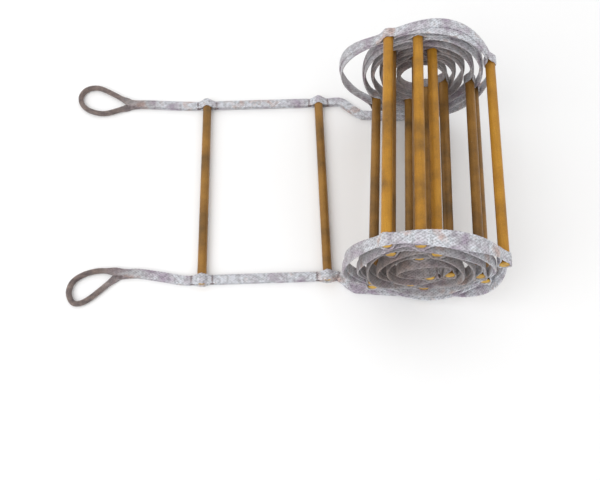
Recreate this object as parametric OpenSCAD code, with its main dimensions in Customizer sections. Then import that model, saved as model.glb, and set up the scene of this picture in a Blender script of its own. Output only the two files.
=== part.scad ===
// Escape rope ladder: round tube rungs held in doubled soft side ropes.
// The lower part is rolled up and lies on its side. The top two rungs and
// the two rope eyes lie unrolled on the ground, towards -X.

/* [Ladder] */
// Distance between the centres of neighbouring rungs along the ropes
rung_pitch = 300; // [290:1:310]
// Distance between the centre lines of the two side ropes
rail_gap = 500; // [480:5:520]

/* [Rungs] */
// Outside diameter of a rung tube
tube_d = 22; // [21:0.5:23]
// Wall thickness of a rung tube
tube_wall = 2; // [1.5:0.25:2.5]
// Length of a rung tube
tube_length = 516; // [512:1:518]

/* [Ropes] */
// Width of a doubled side rope where it lies free
rope_w = 22; // [20:1:23]
// Height of a doubled side rope where it lies free
rope_h = 14; // [13:0.5:14]
// Width of a side rope where it is pressed under the roll and round the rolled rungs
strap_w = 30; // [26:1:32]
// Width of a side rope spread flat in the turns of the roll, its legs side by side
spread_w = 40; // [36:1:42]
// Thickness of a side rope pressed flat in the roll
strap_t = 8; // [7:0.5:8.5]
// Thickness of the rope skin that wraps round a rung
skin_t = 3; // [2.5:0.25:3]
// Thickness of the single rope of an eye
eye_rope = 12; // [10:0.5:12]

/* [Roll] */
// Radius of the outermost turn, at the rope's centre
roll_r = 170; // [169:0.5:171]
// How much the radius shrinks over each turn
turn_pitch = 20.75; // [20.6:0.05:21]
// Distance between rungs along the turns, less than rung_pitch by the slack
rolled_step = 289; // [288:1:290]
// How far the far rope's slack loop stands out of the roll
far_slack = 36; // [0:1:38]
// How far the near rope's slack loop stands out of the roll
near_slack = 10; // [0:1:20]
// Angle of the roll to the laid-out rungs
roll_turn = 5.6; // [0:0.1:6]

/* [Hidden] */
$fn = 64;

tube_r = tube_d / 2;
eyelet_r = tube_r + skin_t;
slip = 0.05;              // radial clearance of a rung that turns in its ropes
gap = 0.3;                // space between ropes that move against each other
snug = 0.02;              // radial clearance of a rung in the rolled ropes
axis_h = eyelet_r;        // height of a rung's axis above the ground
rope_start = eyelet_r + gap;
ring_w = rope_w / 2 - gap;
rung_1_x = -rung_pitch;
near_y = -rail_gap / 2;
far_y = rail_gap / 2;

// Where the middle of rung 2 is, so that the origin is under the ladder's middle
rung_2_place = [122, 4.7, 0];

// The roll: its middle, the inner face of its ropes, and its winding law
roll_x = 214;
roll_y = -50;
roll_z = axis_h + roll_r;
strap_out = rail_gap / 2 + rope_w / 2;
shrink = turn_pitch / (2 * PI);
first_rolled = 3;
last_rolled = 17;
front_rung = 5;           // the rung whose place on the roll is given
front_turn = 216;         // its angle along the winding, from the lowest point
front_s = turned_length(front_turn);
tail_s = rung_s(last_rolled) + 35;
lead_in = 110;            // ground length of rope before the roll
straight_in = 14;         // straight rope before the lead-in
hinge_play = 2.5;

// Throat of each eye: a straight neck under the whipping
neck_length = 40;
neck_w = 20;
neck_h = 12;
neck_base = (rope_h - neck_h) / 2;
whip_length = 23;
whip_w = 25;
near_neck = [-475, -228];
far_neck = [-483, 260];

// Routes of the free ropes on the ground
near_lower_route = [[rope_start, near_y], [24, -250.5], [38, -259], [52, -273]];
far_lower_route = [[rope_start, far_y], [30, far_y], [62, 249], [90, 225]];
near_stem_route = [
    [rung_1_x - rope_start, near_y], [-340, near_y], [-400, -238], [-450, -229], near_neck
];
far_stem_route = [
    [rung_1_x - rope_start, far_y], [-340, far_y], [-400, 254], [-460, 259], far_neck
];
near_loop_route = [
    [-503, -223.5], [-545, -218], [-582, -226], [-607, -243], [-615, -266],
    [-609, -288], [-594, -299], [-564, -287], [-503, -232.5]
];
far_loop_route = [
    [-511, 264.5], [-558, 296], [-600, 318], [-632, 314], [-646, 290],
    [-638, 262], [-612, 242], [-572, 235], [-511, 255.5]
];

// Thread that closes the rope beside a free rung, as a low bar on the rope's back
seizing_length = 8;
seizing_h = 1.5;
seizing_off = eyelet_r + 8;

// End plug of a tube
plug_depth = 16;
plug_cap = 2;

gold = [0.78, 0.53, 0.10];
lilac = [0.76, 0.72, 0.76];
thread = [0.55, 0.50, 0.55];

// Rope length wound after turning through an angle, and the angle after a length
function turned_length(turn) = roll_r * turn * PI / 180 - shrink * pow(turn * PI / 180, 2) / 2;
function turn_at(s) = (roll_r - sqrt(roll_r * roll_r - 2 * shrink * s)) / shrink * 180 / PI;
function rung_s(i) = front_s + (i - front_rung) * rolled_step;
function radius_at(turn) = roll_r - shrink * turn * PI / 180;

// Slack makes the rope stand away from the roll between rungs 5 and 6
function slack_at(turn, height) =
    let (s = turned_length(turn), part = (s - front_s) / rolled_step)
    part > 0 && part < 1 ? height * pow(sin(180 * part), 2) : 0;

// Point on the winding, in the roll's own plane, off the rope's centre by side
function wound(turn, side, height) =
    (radius_at(turn) + slack_at(turn, height) + side) * [sin(turn), -cos(turn)];

// Smooth line through the points of a route
function bend(a, b, c, d, t) =
    0.5 * (2 * b + (c - a) * t + (2 * a - 5 * b + 4 * c - d) * t * t
        + (3 * b - a - 3 * c + d) * t * t * t);
function smooth(route, parts = 4) =
    let (n = len(route) - 1)
    concat([for (i = [0 : n - 1], k = [0 : parts - 1])
        bend(route[max(i - 1, 0)], route[i], route[i + 1], route[min(i + 2, n)], k / parts)],
        [route[n]]);

// Outline of a band of the given width along a line of points
function unit(v) = v / norm(v);
function left_of(line, i) =
    let (d = unit(line[min(i + 1, len(line) - 1)] - line[max(i - 1, 0)])) [-d[1], d[0]];
function band(line, width) =
    let (n = len(line) - 1)
    concat([for (i = [0 : n]) line[i] + left_of(line, i) * width / 2],
        [for (i = [n : -1 : 0]) line[i] - left_of(line, i) * width / 2]);

module laid_rope(route, width, height) {
    linear_extrude(height) polygon(band(smooth(route), width));
}

module placed() {
    translate(rung_2_place) children();
}

module across(r, y_low, y_high) {
    translate([0, y_low, 0]) rotate([-90, 0, 0]) cylinder(r = r, h = y_high - y_low);
}

module at_rung(x) {
    translate([x, 0, axis_h]) children();
}

// A rope's end at a rung: a ring on its own half of the rope's width, and an arm
// that joins it to the rope, which starts clear of the neighbour's ring
module rung_end(x, side, ring_low) {
    arm_start = 8;
    arm_end = rope_start + 2;
    difference() {
        union() {
            at_rung(x) across(eyelet_r, ring_low, ring_low + ring_w);
            translate([side > 0 ? x + arm_start : x - arm_end, ring_low, 0])
                cube([arm_end - arm_start, ring_w, rope_h]);
        }
        at_rung(x) across(tube_r + slip, ring_low - 1, ring_low + ring_w + 1);
    }
}

function outer_half(y) = (y < 0 ? y - rope_w / 2 : y) + gap / 2;
function inner_half(y) = (y < 0 ? y : y - rope_w / 2) + gap / 2;

// Roll plane: X to the right, Y up, extruded across the ladder
module in_roll() {
    translate([roll_x, roll_y, roll_z]) rotate([0, 0, -roll_turn]) children();
}

module rolled_across(y_low) {
    translate([0, y_low, 0]) rotate([90, 0, 0]) mirror([0, 0, 1]) children();
}

module winding(height) {
    step = 12;
    last = turn_at(tail_s);
    turns = [for (t = [0 : step : last]) t];
    polygon(concat([for (t = turns) wound(t, strap_t / 2, height)],
        [for (i = [len(turns) - 1 : -1 : 0]) wound(turns[i], -strap_t / 2, height)]));
}

// The rope's legs lie side by side between rungs and one on the other at a rung
module roll_rope(y_low, y_spread, height) {
    color(lilac) placed() in_roll() difference() {
        union() {
            rolled_across(y_spread) linear_extrude(spread_w) winding(height);
            rolled_across(y_low) linear_extrude(strap_w) {
                for (i = [first_rolled : last_rolled])
                    translate(wound(turn_at(rung_s(i)), 0, height)) circle(eyelet_r);
                translate([hinge_play - lead_in, -roll_z]) square([lead_in + hinge_play, rope_h]);
            }
        }
        for (i = [first_rolled : last_rolled])
            rolled_across(y_spread - 10) linear_extrude(spread_w + 20)
                translate(wound(turn_at(rung_s(i)), 0, height)) circle(tube_r + snug);
        translate([-lead_in, 0, rope_h / 2 - roll_z])
            across(rope_h / 2 + gap, y_low - 1, y_low + strap_w + 1);
    }
}

module near_roll_rope() { roll_rope(-strap_out, strap_w - strap_out - spread_w, near_slack); }

module far_roll_rope() { roll_rope(strap_out - strap_w, strap_out - strap_w, far_slack); }

// Bar stitches that close the rope's inner end, past the last rung
module tail_stitching(y_low) {
    last = turn_at(tail_s - 12);
    color(thread) placed() in_roll() rolled_across(y_low + 4) linear_extrude(strap_w - 8)
        translate(wound(last, strap_t / 2 + 1.4, 0)) rotate(last) square([8, 2], center = true);
}

module near_tail_stitching() { tail_stitching(-strap_out); }

module far_tail_stitching() { tail_stitching(strap_out - strap_w); }

// Rope between the roll and rung 2, rounded where it bends at the roll
function roll_point(x, y) =
    [roll_x + x * cos(roll_turn) + y * sin(roll_turn), roll_y - x * sin(roll_turn) + y * cos(roll_turn)];

module lower_rope(route, y, y_roll) {
    lead = [for (x = [-lead_in - straight_in, -lead_in]) roll_point(x, y_roll)];
    color(lilac) placed() union() {
        rung_end(0, 1, inner_half(y));
        laid_rope(concat(route, lead), rope_w, rope_h);
        in_roll() translate([-lead_in, 0, rope_h / 2 - roll_z])
            across(rope_h / 2, y_roll - rope_w / 2, y_roll + rope_w / 2);
    }
}

module near_lower_rope() { lower_rope(near_lower_route, near_y, strap_w / 2 - strap_out); }

module far_lower_rope() { lower_rope(far_lower_route, far_y, strap_out - strap_w / 2); }

// Rope between rungs 1 and 2
module upper_rope(y) {
    color(lilac) placed() union() {
        rung_end(0, -1, outer_half(y));
        rung_end(rung_1_x, 1, inner_half(y));
        translate([rung_1_x + rope_start, y - rope_w / 2, 0])
            cube([rung_pitch - 2 * rope_start, rope_w, rope_h]);
    }
}

module near_upper_rope() { upper_rope(near_y); }

module far_upper_rope() { upper_rope(far_y); }

// The single rope of an eye, as two halves that overlap at the tip
module eye_loop(route) {
    line = smooth(route);
    last = len(line) - 1;
    middle = floor(last / 2);
    translate([0, 0, neck_base]) linear_extrude(neck_h) union() {
        polygon(band([for (i = [0 : middle]) line[i]], eye_rope));
        polygon(band([for (i = [middle - 1 : last]) line[i]], eye_rope));
    }
}

// Rope from rung 1 to the whipping, the neck and the single rope of the eye
module eye(stem, neck, loop, y) {
    color(lilac) placed() union() {
        rung_end(rung_1_x, -1, outer_half(y));
        laid_rope(stem, rope_w, rope_h);
        translate([neck[0] - neck_length, neck[1] - neck_w / 2, neck_base])
            cube([neck_length, neck_w, neck_h]);
        eye_loop(loop);
    }
}

module near_eye_rope() { eye(near_stem_route, near_neck, near_loop_route, near_y); }

module far_eye_rope() { eye(far_stem_route, far_neck, far_loop_route, far_y); }

// Thread wound tightly round the neck of an eye
module whipping(neck) {
    color(thread) placed() translate([neck[0] - 1 - whip_length, neck[1], 0]) difference() {
        translate([0, -whip_w / 2, 0]) cube([whip_length, whip_w, rope_h]);
        translate([-1, -neck_w / 2 - snug, neck_base - snug])
            cube([whip_length + 2, neck_w + 2 * snug, neck_h + 2 * snug]);
    }
}

module near_eye_whipping() { whipping(near_neck); }

module far_eye_whipping() { whipping(far_neck); }

module seizing(x, y) {
    color(thread) placed() translate([x - seizing_length / 2, y - rope_w / 2 + 1, rope_h])
        cube([seizing_length, rope_w - 2, seizing_h]);
}

module rung_2_roll_side_seizings() {
    for (y = [near_y, far_y]) seizing(seizing_off, y);
}

module rung_2_eye_side_seizings() {
    for (y = [near_y, far_y]) seizing(-seizing_off, y);
}

module rung_1_roll_side_seizings() {
    for (y = [near_y, far_y]) seizing(rung_1_x + seizing_off, y);
}

module near_eye_seizing() { seizing(rung_1_x - seizing_off, near_y); }

module far_eye_seizing() { seizing(rung_1_x - seizing_off, far_y); }

// One rung: an open tube across the ladder, centred on the origin
module tube() {
    color(gold) difference() {
        across(tube_r, -tube_length / 2, tube_length / 2);
        across(tube_r - tube_wall, -tube_length / 2 - 1, tube_length / 2 + 1);
    }
}

// A stem pressed into the tube and a domed cap over its end
module plug(side) {
    color("gold") mirror([0, side < 0 ? 1 : 0, 0]) translate([0, tube_length / 2, 0]) {
        across(tube_r - tube_wall, -plug_depth, 0);
        rotate([-90, 0, 0]) cylinder(r1 = tube_r, r2 = tube_r - 2, h = plug_cap);
    }
}

module at_rolled_rung(i) {
    place = wound(turn_at(rung_s(i)), 0, 0);
    placed() in_roll() translate([place[0], 0, place[1]]) children();
}

module free_rung(x) { placed() at_rung(x) tube(); }

module free_plugs(x) {
    placed() at_rung(x) {
        plug(-1);
        plug(1);
    }
}

module rung_1_plugs() { free_plugs(rung_1_x); }

module rung_2_plugs() { free_plugs(0); }

module rolled_plugs_near() {
    for (i = [first_rolled : last_rolled]) at_rolled_rung(i) plug(-1);
}

module rolled_plugs_far() {
    for (i = [first_rolled : last_rolled]) at_rolled_rung(i) plug(1);
}

module rung_01() { free_rung(rung_1_x); }

module rung_02() { free_rung(0); }

module rolled_rung(i) { at_rolled_rung(i) tube(); }

near_roll_rope();
far_roll_rope();
near_tail_stitching();
far_tail_stitching();
near_lower_rope();
far_lower_rope();
near_upper_rope();
far_upper_rope();
near_eye_rope();
far_eye_rope();
near_eye_whipping();
far_eye_whipping();
rung_2_roll_side_seizings();
rung_2_eye_side_seizings();
rung_1_roll_side_seizings();
near_eye_seizing();
far_eye_seizing();
rung_1_plugs();
rung_2_plugs();
rolled_plugs_near();
rolled_plugs_far();
rung_01();
rung_02();
rolled_rung(3);  // rung_03
rolled_rung(4);  // rung_04
rolled_rung(5);  // rung_05
rolled_rung(6);  // rung_06
rolled_rung(7);  // rung_07
rolled_rung(8);  // rung_08
rolled_rung(9);  // rung_09
rolled_rung(10);  // rung_10
rolled_rung(11);  // rung_11
rolled_rung(12);  // rung_12
rolled_rung(13);  // rung_13
rolled_rung(14);  // rung_14
rolled_rung(15);  // rung_15
rolled_rung(16);  // rung_16
rolled_rung(17);  // rung_17
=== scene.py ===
"""Escape rope ladder: round tube rungs in doubled braided side ropes, most of it rolled up."""
import math

import bpy
import numpy as np
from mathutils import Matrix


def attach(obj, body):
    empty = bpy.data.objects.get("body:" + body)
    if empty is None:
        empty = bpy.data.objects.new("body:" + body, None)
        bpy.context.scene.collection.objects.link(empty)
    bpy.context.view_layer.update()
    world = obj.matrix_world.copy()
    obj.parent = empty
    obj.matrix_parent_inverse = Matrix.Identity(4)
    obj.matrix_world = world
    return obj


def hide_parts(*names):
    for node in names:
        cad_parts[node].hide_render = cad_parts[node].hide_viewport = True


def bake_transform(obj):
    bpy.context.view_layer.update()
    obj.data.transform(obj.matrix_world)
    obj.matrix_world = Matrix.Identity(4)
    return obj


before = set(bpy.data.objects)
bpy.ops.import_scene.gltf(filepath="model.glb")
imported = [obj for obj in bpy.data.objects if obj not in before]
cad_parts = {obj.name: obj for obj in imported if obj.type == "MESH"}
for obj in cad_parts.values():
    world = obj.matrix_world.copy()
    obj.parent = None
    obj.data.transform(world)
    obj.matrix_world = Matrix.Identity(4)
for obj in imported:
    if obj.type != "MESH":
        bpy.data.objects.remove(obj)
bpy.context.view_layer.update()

# ---- Sizes, in metres ------------------------------------------------------------------
RUNG_PITCH = 0.300
RAIL_GAP = 0.500
TUBE_R = 0.011
AXIS_H = 0.014
ROPE_W, ROPE_H = 0.022, 0.014
STRAP_W = 0.030
EYE_ROPE = 0.012
ROLL_R = 0.170
TURN_PITCH = 0.02075
ROLLED_STEP = 0.289
FIRST_ROLLED, FRONT_RUNG, LAST_RUNG = 3, 5, 17
FRONT_TURN = math.radians(216)
TAIL = 0.035
SLACK = {"near": 0.010, "far": 0.036}
SIDES = {"near": -1.0, "far": 1.0}

# The middle of rung 2 on the ground, the roll's middle and its turn about Z
ORIGIN = np.array([0.122, 0.0047, 0.0])
ROLL = ORIGIN + np.array([0.214, -0.050, AXIS_H + ROLL_R])
ROLL_TURN = math.radians(5.6)
ROLL_X = np.array([math.cos(ROLL_TURN), -math.sin(ROLL_TURN), 0.0])
ROLL_Y = np.array([math.sin(ROLL_TURN), math.cos(ROLL_TURN), 0.0])
UP = np.array([0.0, 0.0, 1.0])
SHRINK = TURN_PITCH / (2 * math.pi)
STRAP_Y = RAIL_GAP / 2 + ROPE_W / 2 - STRAP_W / 2

# Routes on the ground, measured from the middle of rung 2
MID_SPAN = -0.150
PAST_RUNG_2 = 0.016
LOWER_ROUTE = {
    "near": [[0.0240, -0.2505], [0.038, -0.259], [0.052, -0.273]],
    "far": [[0.030, 0.250], [0.062, 0.249], [0.090, 0.225]],
}
STEM_ROUTE = {
    "near": [[-0.340, -0.250], [-0.400, -0.238], [-0.450, -0.229], [-0.475, -0.228]],
    "far": [[-0.340, 0.250], [-0.400, 0.254], [-0.460, 0.259], [-0.483, 0.260]],
}
LOOP_ROUTE = {
    "near": [
        [-0.503, -0.2235], [-0.545, -0.218], [-0.582, -0.226], [-0.607, -0.243], [-0.615, -0.266],
        [-0.609, -0.288], [-0.594, -0.299], [-0.564, -0.287], [-0.503, -0.2325],
    ],
    "far": [
        [-0.511, 0.2645], [-0.558, 0.296], [-0.600, 0.318], [-0.632, 0.314], [-0.646, 0.290],
        [-0.638, 0.262], [-0.612, 0.242], [-0.572, 0.235], [-0.511, 0.2555],
    ],
}
NECK = {"near": [-0.491, -0.228], "far": [-0.499, 0.260]}

# Places on the ground before the roll, along its own X from under its middle
LIFT_X = -0.110
SETTLE = 0.040
LEAD_X = (LIFT_X - 0.014, LIFT_X, -0.085, -0.060, -SETTLE)

# Relief of the braid, and the spacing of the points along and round a leg
BRAID_PITCH, BRAID_ENDS, BRAID_DEPTH = 0.0078, 8, 0.0014
STEP, RING = 0.0018, 40
ROLLED_BRAID_PITCH, ROLLED_BRAID_DEPTH = BRAID_PITCH * 1.15, 0.0009
ROLLED_LEG_STEP, ROLLED_RING = 0.0024, 32
PATH_EVERY = 6

# Half width and half thickness of a leg: on the ground, at the roll's foot, and in the turns
LEG_W, LEG_T = ROPE_W / 2, ROPE_H / 4
LEG_END_W = 0.0115
LEG_SPREAD_W, LEG_SPREAD_T = 0.0122, 0.0024
EYE_T = 0.0062

# Height of the rope's middle, and how far each leg lies above or below it
LEG_MIDDLE, LEG_OFF = 0.0076, 0.0039
PRESSED_OFF = 0.0019

# Round a rung: height of the middle, thickness of the wrap, and how far along it reaches
RUNG_MIDDLE = AXIS_H + 0.0006
WRAP_T = 0.0016
RUNG_REACH = 0.0130

# How much wider the rope is round a tube's end, and how far it lies further out
COVER = {"near": (0.0026, 0.0016), "far": (0.0, 0.0)}

# Seizings: distance from the rung, length, thread, and how they pinch each leg
SEIZING_OFF = AXIS_H + 0.010
SEIZING_LENGTH, SEIZING_PITCH = 0.008, 0.0016
SEIZING_W, SEIZING_T = LEG_W + 0.0006, ROPE_H / 2 + 0.0001
SEIZING_MIDDLE = ROPE_H / 2 + 0.0012
PINCH_W, PINCH_T, PINCH_REACH = 0.0014, 0.0006, 0.005

# Whippings at the eyes, and the stitches at the inner ends of the rolled ropes
WHIP_LENGTH, WHIP_PITCH, WHIP_W, WHIP_REACH = 0.030, 0.0019, 0.0118, 0.016
THREAD_DEPTH, THREAD_TAPER = 0.0007, 0.0006
STITCH_PITCH, STITCH_DEPTH = 0.0018, 0.0006
STITCH_BACK, STITCH_HALF, STITCH_STEP = 0.012, 0.005, 0.0003
STITCH_W, STITCH_T, STITCH_OUT = LEG_SPREAD_W + 0.0042, 2 * LEG_SPREAD_T, 0.003

# How far the rope's colour is mixed toward dark brown: 0 clean, 1 brown; a slight soil on the
# spans, painted shade on the eyes
SPAN_SOIL, EYE_PAINTED_SHADE = 0.05, 0.95

# Rungs that keep the bright ochre, on the upper side of the roll; the other rolled rungs get the
# darker tube as painted shade, and rungs 1 and 2 get it as their browner paint
BRIGHT_RUNGS = (4, 5, 8, 13)


# ---- Camera ----------------------------------------------------------------------------
def make_camera():
    data = bpy.data.cameras.new("camera")
    data.lens = 36.0
    data.sensor_width = 36.0
    data.clip_end = 50
    camera = bpy.data.objects.new("camera", data)
    bpy.context.scene.collection.objects.link(camera)
    camera.location = (0.0400, -0.7245, 1.3646)
    camera.rotation_euler = (math.radians(90 - 67), 0, math.radians(-1.9))
    bpy.context.scene.camera = camera


make_camera()


# ---- Node materials --------------------------------------------------------------------
def new_material(name):
    material = bpy.data.materials.new(name)
    material.use_nodes = True
    tree = material.node_tree
    return material, tree, tree.nodes["Principled BSDF"]


def noise(tree, scale, detail=4.0, roughness=0.55, stretch=None):
    """Noise in the object's own coordinates, so that it moves with its piece."""
    place = tree.nodes.new("ShaderNodeTexCoord")
    node = tree.nodes.new("ShaderNodeTexNoise")
    node.inputs["Scale"].default_value = scale
    node.inputs["Detail"].default_value = detail
    node.inputs["Roughness"].default_value = roughness
    source = place.outputs["Object"]
    if stretch:
        mapping = tree.nodes.new("ShaderNodeMapping")
        mapping.inputs["Scale"].default_value = stretch
        tree.links.new(source, mapping.inputs["Vector"])
        source = mapping.outputs["Vector"]
    tree.links.new(source, node.inputs["Vector"])
    return node.outputs["Fac"]


def ramp(tree, source, stops):
    node = tree.nodes.new("ShaderNodeValToRGB")
    points = node.color_ramp.elements
    while len(points) < len(stops):
        points.new(0.5)
    for point, (place, colour) in zip(points, stops):
        point.position = place
        point.color = (*colour, 1)
    tree.links.new(source, node.inputs["Fac"])
    return node.outputs["Color"]


def mix(tree, amount, a, b, blend="MIX"):
    node = tree.nodes.new("ShaderNodeMix")
    node.data_type = "RGBA"
    node.blend_type = blend
    if isinstance(amount, float):
        node.inputs["Factor"].default_value = amount
    else:
        tree.links.new(amount, node.inputs["Factor"])
    tree.links.new(a, node.inputs["A"])
    tree.links.new(b, node.inputs["B"])
    return node.outputs["Result"]


def attribute(tree, name):
    node = tree.nodes.new("ShaderNodeAttribute")
    node.attribute_name = name
    return node.outputs["Fac"]


def add_bump(tree, bsdf, source, strength, distance):
    node = tree.nodes.new("ShaderNodeBump")
    node.inputs["Strength"].default_value = strength
    node.inputs["Distance"].default_value = distance
    tree.links.new(source, node.inputs["Height"])
    tree.links.new(node.outputs["Normal"], bsdf.inputs["Normal"])


def grey(value):
    return (value, value, value)


def rope_material():
    material, tree, bsdf = new_material("braided_nylon")
    cloudy = ramp(tree, noise(tree, 24, 3), [
        (0.32, (0.42, 0.35, 0.44)), (0.45, (0.60, 0.58, 0.63)),
        (0.56, (0.72, 0.75, 0.80)), (0.70, (0.60, 0.46, 0.43)),
    ])
    flecks = ramp(tree, noise(tree, 150, 2), [(0.36, grey(0.55)), (0.58, grey(1.0))])
    clean = mix(tree, 0.85, cloudy, flecks, "MULTIPLY")
    # Dark brown mixed into the rope by a mesh attribute: a slight soil on the spans, and painted
    # shade on the eyes and in the roll's turns.
    soil_and_shade_colour = ramp(tree, noise(tree, 70, 4), [
        (0.35, (0.085, 0.060, 0.055)), (0.70, (0.26, 0.19, 0.16)),
    ])
    coloured = mix(tree, attribute(tree, "soil_and_shade"), clean, soil_and_shade_colour)
    # Painted shade: the braid's crevices are darkened by the relief height, and the crowns are left
    # bright.
    painted_crevice_shade = ramp(tree, attribute(tree, "braid"), [
        (0.0, grey(0.30)), (0.40, grey(0.80)), (0.8, grey(1.0)),
    ])
    shaded = mix(tree, 1.0, coloured, painted_crevice_shade, "MULTIPLY")
    tree.links.new(shaded, bsdf.inputs["Base Color"])
    bsdf.inputs["Roughness"].default_value = 0.80
    bsdf.inputs["Sheen Weight"].default_value = 0.20
    bsdf.inputs["Sheen Roughness"].default_value = 0.5
    add_bump(tree, bsdf, noise(tree, 1400, 3), 0.6, 0.0006)
    return material


def tube_material(name, dull, middling, bright):
    material, tree, bsdf = new_material(name)
    broad = ramp(tree, noise(tree, 14, 5), [(0.30, dull), (0.50, middling), (0.72, bright)])
    fine = ramp(tree, noise(tree, 420, 3), [(0.30, grey(0.72)), (0.60, grey(1.0))])
    coat = mix(tree, 0.7, broad, fine, "MULTIPLY")
    drawn = ramp(tree, noise(tree, 60, 3, stretch=(6, 0.25, 6)), [
        (0.35, grey(0.80)), (0.60, grey(1.0)),
    ])
    streaked = mix(tree, 0.5, coat, drawn, "MULTIPLY")
    scuffs = ramp(tree, noise(tree, 90, 8, 0.75), [(0.66, grey(0.0)), (0.74, grey(0.55))])
    bare = ramp(tree, noise(tree, 200), [(0.3, (0.50, 0.36, 0.17)), (0.7, (0.62, 0.50, 0.30))])
    tree.links.new(mix(tree, scuffs, streaked, bare), bsdf.inputs["Base Color"])
    rough = ramp(tree, noise(tree, 120, 5), [(0.3, grey(0.34)), (0.7, grey(0.52))])
    tree.links.new(rough, bsdf.inputs["Roughness"])
    bsdf.inputs["Metallic"].default_value = 0.25
    add_bump(tree, bsdf, noise(tree, 500, 4), 0.25, 0.0004)
    return material


def plug_material():
    material, tree, bsdf = new_material("yellow_plug")
    body = ramp(tree, noise(tree, 90, 4), [(0.35, (0.36, 0.19, 0.02)), (0.65, (0.62, 0.36, 0.03))])
    tree.links.new(body, bsdf.inputs["Base Color"])
    rough = ramp(tree, noise(tree, 300, 4), [(0.3, grey(0.42)), (0.7, grey(0.60))])
    tree.links.new(rough, bsdf.inputs["Roughness"])
    add_bump(tree, bsdf, noise(tree, 900, 3), 0.3, 0.0003)
    return material


def thread_material():
    material, tree, bsdf = new_material("waxed_twine")
    body = ramp(tree, noise(tree, 140, 4), [(0.35, (0.12, 0.09, 0.09)), (0.65, (0.30, 0.25, 0.26))])
    # Painted shade: the hollows between the turns of thread are darkened by their relief height.
    painted_crevice_shade = ramp(tree, attribute(tree, "braid"), [(0.0, grey(0.30)), (0.6, grey(1.0))])
    tree.links.new(mix(tree, 0.9, body, painted_crevice_shade, "MULTIPLY"), bsdf.inputs["Base Color"])
    bsdf.inputs["Roughness"].default_value = 0.6
    add_bump(tree, bsdf, noise(tree, 1800, 3), 0.5, 0.0003)
    return material


ROPE = rope_material()
TUBE = tube_material(
    "ochre_tube", (0.24, 0.115, 0.016), (0.45, 0.205, 0.013), (0.56, 0.27, 0.020))
# A darker copy of the tube: painted shade on the rolled rungs off the roll's top, and browner paint
# on rungs 1 and 2.
WORN_AND_SHADED_TUBE = tube_material(
    "worn_and_shaded_tube", (0.14, 0.075, 0.020), (0.27, 0.130, 0.022), (0.38, 0.185, 0.030))
PLUG = plug_material()
TWINE = thread_material()


# ---- Lines -----------------------------------------------------------------------------
def smooth(route):
    """A Catmull-Rom line through the points of a route."""
    parts = 12
    p = np.array(route, float)
    last = len(p) - 1
    line = []
    for i in range(last):
        a, b, c, d = p[max(i - 1, 0)], p[i], p[i + 1], p[min(i + 2, last)]
        for t in np.arange(parts) / parts:
            line.append(0.5 * (2 * b + (c - a) * t + (2 * a - 5 * b + 4 * c - d) * t**2
                               + (3 * b - a - 3 * c + d) * t**3))
    line.append(p[-1])
    return np.array(line)


def lengths(line):
    return np.r_[0, np.cumsum(np.linalg.norm(np.diff(line, axis=0), axis=1))]


def resample(line, step):
    """Points at even distances along a line, and those distances."""
    s = lengths(line)
    at = np.linspace(0, s[-1], max(2, int(round(s[-1] / step)) + 1))
    return np.stack([np.interp(at, s, line[:, k]) for k in range(line.shape[1])], 1), at


def tangents(line):
    t = np.gradient(line, axis=0)
    return t / np.linalg.norm(t, axis=1)[:, None]


def heading(line, x):
    """The point of a line nearest to an X, and the line's direction there."""
    i = int(np.argmin(np.abs(line[:, 0] - x)))
    return line[i], tangents(line)[i]


def near_rung(distance, reach):
    """1 at a rung, fading to 0 on both sides of it."""
    return np.exp(-(distance / reach) ** 2)


def ease(part):
    return part**2 * (3 - 2 * part)


def ground(points):
    return np.array([[x, y, 0.0] for x, y in points]) + ORIGIN


def roll_point(x, y, z):
    """A point in the roll's own directions: x to the right, y across, z up."""
    return ROLL + x * ROLL_X + y * ROLL_Y + z * UP


def roll_line(x, y, z):
    return ROLL + x[:, None] * ROLL_X + y[:, None] * ROLL_Y + z[:, None] * UP


def inward(turn):
    """The direction from the winding towards the roll's axis."""
    return (-np.sin(turn))[:, None] * ROLL_X + np.cos(turn)[:, None] * UP


# ---- Sweeps ----------------------------------------------------------------------------
def section(count, half_w, half_t):
    """Even steps round a flattened oval: unit offsets, and the outward direction."""
    fine = np.linspace(0, 2 * math.pi, 721)
    power = 0.84
    x = half_w * np.sign(np.cos(fine)) * np.abs(np.cos(fine)) ** power
    y = half_t * np.sign(np.sin(fine)) * np.abs(np.sin(fine)) ** power
    s = lengths(np.stack([x, y], 1))
    at = np.arange(count) / count * s[-1]
    px, py = np.interp(at, s, x), np.interp(at, s, y)
    nx, ny = px / half_w**2, py / half_t**2
    size = np.hypot(nx, ny)
    return px, py, nx / size, ny / size


def braid(s, count, pitch):
    """Relief of two sets of yarns that cross, from 0 in the crevices to 1 on the crowns."""
    q = np.arange(count) / count * 2 * math.pi
    one = np.cos(2 * math.pi * s[:, None] / pitch + BRAID_ENDS * q)
    two = np.cos(2 * math.pi * s[:, None] / pitch - BRAID_ENDS * q)
    return np.clip(0.5 + 0.5 * np.maximum(one, two), 0, 1)


def turns_of_thread(s, pitch):
    return np.repeat(np.abs(np.cos(math.pi * s / pitch))[:, None] ** 0.6, RING, 1)


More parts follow.
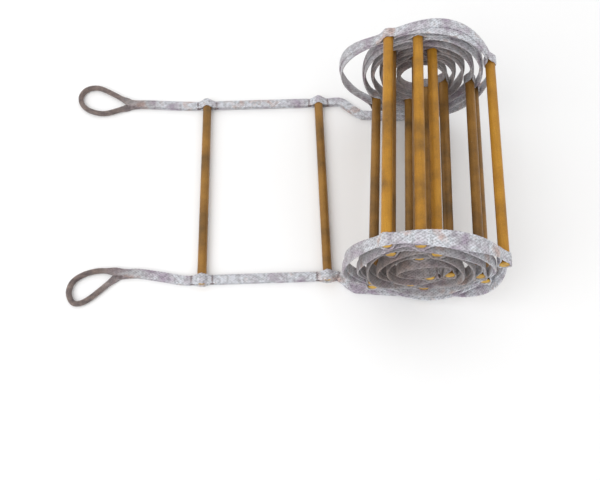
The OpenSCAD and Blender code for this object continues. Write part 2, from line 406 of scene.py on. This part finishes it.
def sweep(name, line, normal, half_w, half_t, relief, depth, soil_and_shade, material):
    """A closed tube along a line, with a flattened section, relief, and caps."""
    n, count = relief.shape
    t = tangents(line)
    across = np.cross(normal, t)
    across /= np.linalg.norm(across, axis=1)[:, None]
    out = np.cross(t, across)
    half_w = np.broadcast_to(half_w, n)
    half_t = np.broadcast_to(half_t, n)
    points = np.empty((n, count, 3))
    for i in range(n):
        px, py, nx, ny = section(count, half_w[i], half_t[i])
        lift = (relief[i] - 0.6) * depth
        points[i] = (line[i] + (px + nx * lift)[:, None] * across[i]
                     + (py + ny * lift)[:, None] * out[i])
    caps = np.stack([line[0] - t[0] * half_t[0] * 0.5, line[-1] + t[-1] * half_t[-1] * 0.5])
    vertices = np.vstack([points.reshape(-1, 3), caps])
    i, j = np.meshgrid(np.arange(n - 1), np.arange(count), indexing="ij")
    k = (j + 1) % count
    quads = np.stack([i * count + j, (i + 1) * count + j, (i + 1) * count + k, i * count + k], -1)
    faces = quads.reshape(-1, 4)[:, ::-1].tolist()
    first_cap, last_cap = n * count, n * count + 1
    last_ring = (n - 1) * count
    faces += [[first_cap, r, (r + 1) % count] for r in range(count)]
    faces += [[last_cap, last_ring + (r + 1) % count, last_ring + r] for r in range(count)]
    mesh = bpy.data.meshes.new(name)
    mesh.from_pydata(vertices.tolist(), [], faces)
    mesh.update()
    soil_and_shade = np.repeat(np.broadcast_to(soil_and_shade, n), count)
    for label, value in (("braid", relief.reshape(-1)), ("soil_and_shade", soil_and_shade)):
        layer = mesh.attributes.new(label, "FLOAT", "POINT")
        layer.data.foreach_set("value", np.r_[value, value[0], value[-1]].astype(np.float32))
    mesh.polygons.foreach_set("use_smooth", np.ones(len(mesh.polygons), bool))
    mesh.materials.append(material)
    obj = bpy.data.objects.new(name, mesh)
    bpy.context.scene.collection.objects.link(obj)
    return obj


def bind(name, middle, direction, half_w, half_t, length, pitch):
    """Thread wound round both legs of the rope."""
    t = np.array([direction[0], direction[1], 0.0])
    t /= np.linalg.norm(t)
    s = np.arange(0, length + 1e-9, pitch / 6)
    line = np.array(middle) + (s - length / 2)[:, None] * t
    ends = np.clip(np.minimum(s, length - s) / (pitch * 0.7), 0.25, 1)
    taper = THREAD_TAPER * (1 - ends)
    return sweep(name, line, np.broadcast_to(UP, line.shape), half_w - taper, half_t - taper,
                 turns_of_thread(s, pitch), THREAD_DEPTH, 0.0, TWINE)


def declare(line):
    """Takes every sixth point of a leg's middle line and its last point; the result is not used."""
    path = line[::PATH_EVERY]
    if (len(line) - 1) % PATH_EVERY:
        path = np.vstack([path, line[-1:]])


# ---- Side ropes on the ground ----------------------------------------------------------
def pinched(x, half_w, half_t):
    """A leg's half sizes, drawn in at the seizings on both sides of a rung at x = 0."""
    for off in (-SEIZING_OFF, SEIZING_OFF):
        waist = near_rung(x - off, PINCH_REACH)
        half_w = half_w - PINCH_W * waist
        half_t = half_t - PINCH_T * waist
    return half_w, half_t


def leg(name, line, side, level, widths):
    """One leg of the doubled rope, parted round rung 2: level 1 is the upper one."""
    line, s = resample(line, STEP)
    x = line[:, 0] - ORIGIN[0]
    bump = near_rung(x, RUNG_REACH)
    half_w, half_t = pinched(x, widths(x) + COVER[side][0] * bump,
                             LEG_T * (1 - bump) + WRAP_T * bump)
    line[:, 1] += SIDES[side] * COVER[side][1] * bump
    line[:, 2] = (LEG_MIDDLE * (1 - bump) + RUNG_MIDDLE * bump
                  + level * (LEG_OFF * (1 - bump) + (TUBE_R + WRAP_T) * bump))
    piece = sweep(name, line, np.broadcast_to(UP, line.shape), half_w, half_t,
                  braid(s, RING, BRAID_PITCH), BRAID_DEPTH, SPAN_SOIL, ROPE)
    declare(line)
    return piece


def make_legs(side, place, line, widths, node):
    """Both legs along a line."""
    for label, level in (("upper_leg", 1), ("lower_leg", -1)):
        piece = leg(f"{side}_rope_at_{place}_{label}", line, side, level, widths)
        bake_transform(piece)
    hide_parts(node)


def make_lower(side):
    """From past rung 2 to under the roll."""
    start = [[PAST_RUNG_2, SIDES[side] * RAIL_GAP / 2]] + LOWER_ROUTE[side]
    lead_in = [roll_point(x, SIDES[side] * STRAP_Y, -ROLL[2]) for x in LEAD_X]
    line = smooth(np.vstack([ground(start), lead_in]))
    hinge = roll_point(LIFT_X, SIDES[side] * STRAP_Y, -ROLL[2] + ROPE_H / 2)

    def widths(x):
        toward = np.clip((x - hinge[0] + ORIGIN[0] + 0.04) / 0.10, 0, 1)
        return LEG_W + (LEG_END_W - LEG_W) * toward

    make_legs(side, "roll", line, widths, f"{side}_lower_rope")
    return line


def make_upper(side):
    """From the middle of the foot gap round rung 2."""
    y = SIDES[side] * RAIL_GAP / 2
    line = ground([[MID_SPAN, y], [PAST_RUNG_2, y]])
    make_legs(side, "rung_2", line, lambda x: np.full(len(x), LEG_W), f"{side}_upper_rope")


def make_eye(side):
    """From mid span round rung 1, out along the eye and back on the other leg."""
    y = SIDES[side] * RAIL_GAP / 2
    out = smooth(ground([[MID_SPAN, y], [-0.220, y], [-RUNG_PITCH, y], *STEM_ROUTE[side]]))
    loop = smooth(ground(LOOP_ROUTE[side]))
    line, s = resample(np.vstack([out, loop, out[::-1]]), STEP)
    x = line[:, 0] - ORIGIN[0]
    first = int(np.argmax(x < LOOP_ROUTE[side][0][0]))
    last = len(x) - 1 - int(np.argmax((x < LOOP_ROUTE[side][-1][0])[::-1]))
    turn = np.clip((np.arange(len(x)) - first) / (last - first), 0, 1)
    level = np.cos(math.pi * turn)
    round_part = ease(np.clip(np.minimum(s - s[first], s[last] - s) / 0.032, 0, 1))
    bump = near_rung(x + RUNG_PITCH, RUNG_REACH)
    apart = (LEG_OFF * (1 - bump) * (1 - round_part) + (TUBE_R + WRAP_T) * bump) * level
    half_w, half_t = pinched(
        x + RUNG_PITCH,
        LEG_W * (1 - round_part) + EYE_ROPE / 2 * round_part + COVER[side][0] * bump,
        (LEG_T * (1 - bump) + WRAP_T * bump) * (1 - round_part) + EYE_T * round_part)
    under_whip = near_rung(x - NECK[side][0], WHIP_REACH)
    half_w = half_w * (1 - 0.16 * under_whip)
    half_t = np.minimum(half_t, EYE_T - 0.0016 * under_whip)
    line[:, 1] += SIDES[side] * COVER[side][1] * bump
    line[:, 2] = LEG_MIDDLE * (1 - bump) + RUNG_MIDDLE * bump + apart
    # Painted shade: from 0.40 m behind rung 2 the rope darkens, and it is nearly full brown from
    # 0.55 m on and over the eye.
    soil_and_shade = np.clip((-x - 0.40) / 0.15, SPAN_SOIL, EYE_PAINTED_SHADE)
    piece = sweep(f"{side}_eye_and_stem", line, np.broadcast_to(UP, line.shape), half_w, half_t,
                  braid(s, RING, BRAID_PITCH), BRAID_DEPTH, soil_and_shade, ROPE)
    declare(line)
    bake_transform(piece)
    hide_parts(f"{side}_eye_rope")


def make_bindings(side, lower_line):
    """The seizings beside both free rungs, and the whipping at the eye's neck."""
    y = SIDES[side] * RAIL_GAP / 2 + ORIGIN[1]
    rows = [
        ("rung_2_roll_side", SEIZING_OFF, "lower_span", "rung_2_roll_side_seizings"),
        ("rung_2_eye_side", -SEIZING_OFF, "upper_span", "rung_2_eye_side_seizings"),
        ("rung_1_roll_side", SEIZING_OFF - RUNG_PITCH, "upper_span", "rung_1_roll_side_seizings"),
        ("rung_1_eye_side", -SEIZING_OFF - RUNG_PITCH, f"{side}_eye", f"{side}_eye_seizing"),
    ]
    for label, x, body, node in rows:
        direction = (1.0, 0.0)
        at = (ORIGIN[0] + x, y)
        if label == "rung_2_roll_side":
            spot, direction = heading(lower_line, ORIGIN[0] + x)
            at = (spot[0], spot[1])
        piece = bind(f"{side}_seizing_{label}", (*at, SEIZING_MIDDLE), direction,
                     SEIZING_W, SEIZING_T, SEIZING_LENGTH, SEIZING_PITCH)
        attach(piece, body)
        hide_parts(node)
    x, neck_y = NECK[side]
    whip = bind(f"{side}_whipping", (x + ORIGIN[0], neck_y + ORIGIN[1], ROPE_H / 2), (1.0, 0.0),
                WHIP_W, ROPE_H / 2, WHIP_LENGTH, WHIP_PITCH)
    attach(whip, f"{side}_eye")
    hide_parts(f"{side}_eye_whipping")


# ---- The rolled ropes ------------------------------------------------------------------
def turned_length(turn):
    return ROLL_R * turn - SHRINK * turn**2 / 2


def turn_at(s):
    return (ROLL_R - np.sqrt(ROLL_R**2 - 2 * SHRINK * s)) / SHRINK


FRONT_S = turned_length(FRONT_TURN)
RUNG_S = FRONT_S + (np.arange(FIRST_ROLLED, LAST_RUNG + 1) - FRONT_RUNG) * ROLLED_STEP
TAIL_S = RUNG_S[-1] + TAIL


def sideways(s, side, level):
    """How far a leg lies from the middle of the pressed rope: side by side between rungs."""
    phase = 1.3 if side == "near" else 4.1
    part = (s - RUNG_S[0]) / ROLLED_STEP
    between = np.where(part > 0, np.sin(math.pi * np.clip(part, 0, len(RUNG_S) - 0.5)) ** 2, 0)
    uneven = 1 + 0.25 * np.sin(2.4 * np.floor(part) + phase)
    spread = 0.0150 * uneven if level < 0 else -0.0020 * uneven
    drift = 0.0012 * np.sin(s / 0.117 + 2.1 * phase) + level * 0.0008 * np.sin(s / 0.23 + phase)
    return between * spread + drift * np.clip((s + SETTLE) / 0.1, 0, 1)


def rolled_leg(side, label, level):
    """One leg in the roll, from the ground to its inner end: level 1 is the inner one."""
    s = np.arange(-SETTLE, TAIL_S, ROLLED_LEG_STEP)
    turn = turn_at(np.clip(s, 0, None))
    bump = np.clip(near_rung(s[:, None] - RUNG_S[None], RUNG_REACH).sum(1), 0, 1)
    part = (s - FRONT_S) / ROLLED_STEP
    slack = SLACK[side] * np.sin(math.pi * np.clip(part, 0, 1)) ** 2
    slack = np.where((part > 0) & (part < 1), slack, 0)
    radius = ROLL_R - SHRINK * turn + slack
    radius = radius - level * (PRESSED_OFF * (1 - bump) + (TUBE_R + WRAP_T) * bump)
    y = SIDES[side] * (STRAP_Y + sideways(s, side, level) + 2 * COVER[side][1] * bump)
    settle = ease(np.clip(-s / SETTLE, 0, 1))
    x = radius * np.sin(turn) + np.minimum(s, 0)
    z_ground = -ROLL[2] + LEG_MIDDLE + level * LEG_OFF
    z = -radius * np.cos(turn) * (1 - settle) + z_ground * settle
    line = roll_line(x, y, z)
    half_t = (LEG_SPREAD_T * (1 - settle) + LEG_T * settle) * (1 - bump) + WRAP_T * bump
    half_w = LEG_SPREAD_W * (1 - settle) + LEG_END_W * settle + COVER[side][0] * bump
    # The inner turns are painted darker and browner, as painted shade for the roll's inside; the
    # turns on the roll's left side are also painted darker.
    inner = np.clip((turn - 2 * math.pi) / (5 * math.pi), 0, 1)
    soil_and_shade = 0.02 + 0.65 * inner + 0.30 * np.clip(np.sin(turn + math.pi), 0, 1) ** 2
    piece = sweep(f"{side}_rolled_rope_{label}", line, inward(turn), half_w, half_t,
                  braid(s, ROLLED_RING, ROLLED_BRAID_PITCH), ROLLED_BRAID_DEPTH, soil_and_shade, ROPE)
    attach(piece, "roll")
    declare(line)
    return piece


def make_rolled(side):
    """Both rolled legs, and the stitches that hold their inner ends together."""
    inner = rolled_leg(side, "inner_leg", 1.0)
    rolled_leg(side, "outer_leg", -1.0)
    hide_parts(f"{side}_roll_rope")
    s = TAIL_S - STITCH_BACK + np.arange(-STITCH_HALF, STITCH_HALF + 0.0001, STITCH_STEP)
    turn = turn_at(s)
    radius = ROLL_R - SHRINK * turn
    y = np.full(len(s), SIDES[side] * (STRAP_Y + STITCH_OUT))
    line = roll_line(radius * np.sin(turn), y, -radius * np.cos(turn))
    band = sweep(f"{side}_tail_stitches", line, inward(turn), STITCH_W, STITCH_T,
                 turns_of_thread(s, STITCH_PITCH), STITCH_DEPTH, 0.0, TWINE)
    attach(band, "roll")
    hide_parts(f"{side}_tail_stitching")


for side_name in SIDES:
    make_eye(side_name)
    make_upper(side_name)
    lower = make_lower(side_name)
    make_bindings(side_name, lower)
    make_rolled(side_name)


# ---- The rungs and plugs keep their CAD shapes -----------------------------------------
def dress(node, material):
    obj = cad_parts[node]
    obj.data.materials.clear()
    obj.data.materials.append(material)


for node_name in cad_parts:
    if node_name.startswith("rung_") and node_name[5:].isdigit():
        # Rungs off the top of the roll get the darker tube as painted shade; rungs 1 and 2 get it
        # as their browner paint.
        dress(node_name, TUBE if int(node_name[5:]) in BRIGHT_RUNGS else WORN_AND_SHADED_TUBE)
    elif "plugs" in node_name:
        dress(node_name, PLUG)


# ---- Floor and light -------------------------------------------------------------------
def make_floor():
    mesh = bpy.data.meshes.new("floor")
    reach = 12.0
    corners = [(-reach, -reach, 0), (reach, -reach, 0), (reach, reach, 0), (-reach, reach, 0)]
    mesh.from_pydata(corners, [], [(0, 1, 2, 3)])
    floor = bpy.data.objects.new("floor", mesh)
    bpy.context.scene.collection.objects.link(floor)
    material, tree, bsdf = new_material("pale_floor")
    tone = ramp(tree, noise(tree, 0.6), [(0.3, grey(0.93)), (0.7, grey(0.95))])
    tree.links.new(tone, bsdf.inputs["Base Color"])
    bsdf.inputs["Roughness"].default_value = 0.9
    mesh.materials.append(material)


def make_light():
    world = bpy.data.worlds.new("studio")
    bpy.context.scene.world = world
    world.use_nodes = True
    back = world.node_tree.nodes["Background"]
    back.inputs["Color"].default_value = (1, 1, 1, 1)
    back.inputs["Strength"].default_value = 0.95
    data = bpy.data.lights.new("key", "AREA")
    data.size = 2.2
    data.energy = 30
    light = bpy.data.objects.new("key", data)
    bpy.context.scene.collection.objects.link(light)
    light.location = (-1.6, -1.0, 2.4)
    light.rotation_euler = (math.radians(22), math.radians(-34), 0.0)


make_floor()
make_light()
bpy.context.scene.view_settings.view_transform = "Standard"
